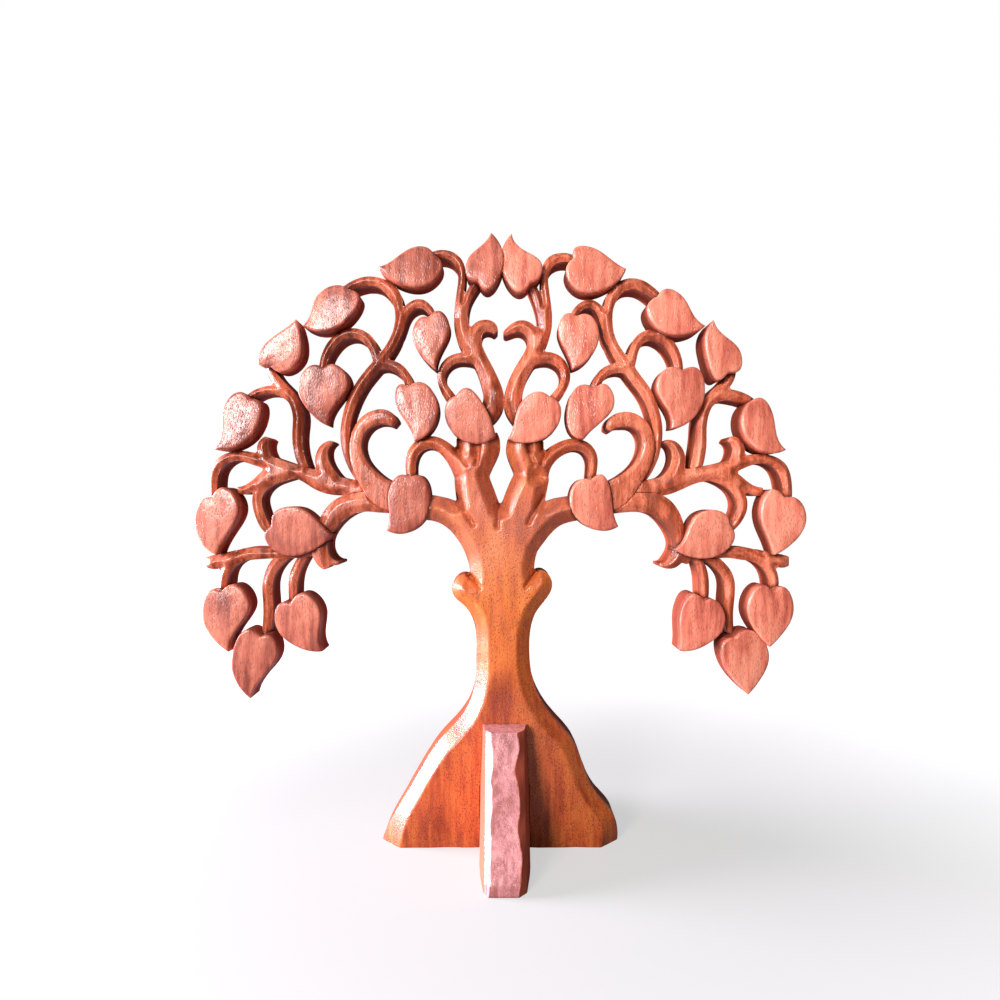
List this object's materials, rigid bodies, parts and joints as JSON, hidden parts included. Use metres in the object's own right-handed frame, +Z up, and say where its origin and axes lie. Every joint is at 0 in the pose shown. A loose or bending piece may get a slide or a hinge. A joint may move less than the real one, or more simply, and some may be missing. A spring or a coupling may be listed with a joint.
{
  "type": "carved wooden tree of life",
  "caption": "Pierced and relief-carved wooden tree with heart-shaped leaves, standing in a half-lapped cross foot.",
  "frame": {"origin": "centre of the footprint on the floor, under the middle of the carved plank", "axes": "+Z up, -Y towards the viewer of the carved face, +X to the viewer's right"},
  "size_m": [0.307, 0.121, 0.308],
  "materials": {
    "trunk_wood": "clear varnish over carved hardwood",
    "branch_wood": "clear varnish over carved hardwood",
    "left_leaf_wood": "clear varnish over sanded carved faces",
    "right_leaf_wood": "clear varnish over sanded carved faces",
    "foot_wood": "clear varnish over knife-cut hardwood"
  },
  "bodies": {
    "foot": {"cross_foot": "foot_wood"},
    "tree": {"left_crown_branch": "branch_wood", "left_drooping_bough": "branch_wood", "left_hanging_branch": "branch_wood", "left_inner_stem": "branch_wood", "left_leaf_01": "left_leaf_wood", "left_leaf_02": "left_leaf_wood", "left_leaf_03": "left_leaf_wood", "left_leaf_04": "left_leaf_wood", "left_leaf_05": "left_leaf_wood", "left_leaf_06": "left_leaf_wood", "left_leaf_07": "left_leaf_wood", "left_leaf_08": "left_leaf_wood", "left_leaf_09": "left_leaf_wood", "left_leaf_10": "left_leaf_wood", "left_leaf_11": "left_leaf_wood", "left_leaf_12": "left_leaf_wood", "left_leaf_13": "left_leaf_wood", "left_leaf_14": "left_leaf_wood", "left_leaf_15": "left_leaf_wood", "left_long_branch": "branch_wood", "left_outer_stem": "branch_wood", "left_rising_branch": "branch_wood", "left_scroll_bough": "branch_wood", "left_side_branch": "branch_wood", "right_crown_branch": "branch_wood", "right_drooping_bough": "branch_wood", "right_hanging_branch": "branch_wood", "right_inner_stem": "branch_wood", "right_leaf_01": "right_leaf_wood", "right_leaf_02": "right_leaf_wood", "right_leaf_03": "right_leaf_wood", "right_leaf_04": "right_leaf_wood", "right_leaf_05": "right_leaf_wood", "right_leaf_06": "right_leaf_wood", "right_leaf_07": "right_leaf_wood", "right_leaf_08": "right_leaf_wood", "right_leaf_09": "right_leaf_wood", "right_leaf_10": "right_leaf_wood", "right_leaf_11": "right_leaf_wood", "right_leaf_12": "right_leaf_wood", "right_leaf_13": "right_leaf_wood", "right_leaf_14": "right_leaf_wood", "right_leaf_15": "right_leaf_wood", "right_long_branch": "branch_wood", "right_outer_stem": "branch_wood", "right_rising_branch": "branch_wood", "right_scroll_bough": "branch_wood", "right_side_branch": "branch_wood", "trunk": "trunk_wood"}
  },
  "joints": [
    {"name": "tree_lift", "type": "slide", "parent": "foot", "child": "tree", "axis": [0, 0, 1], "range_m": [0, 0.068]}
  ]
}
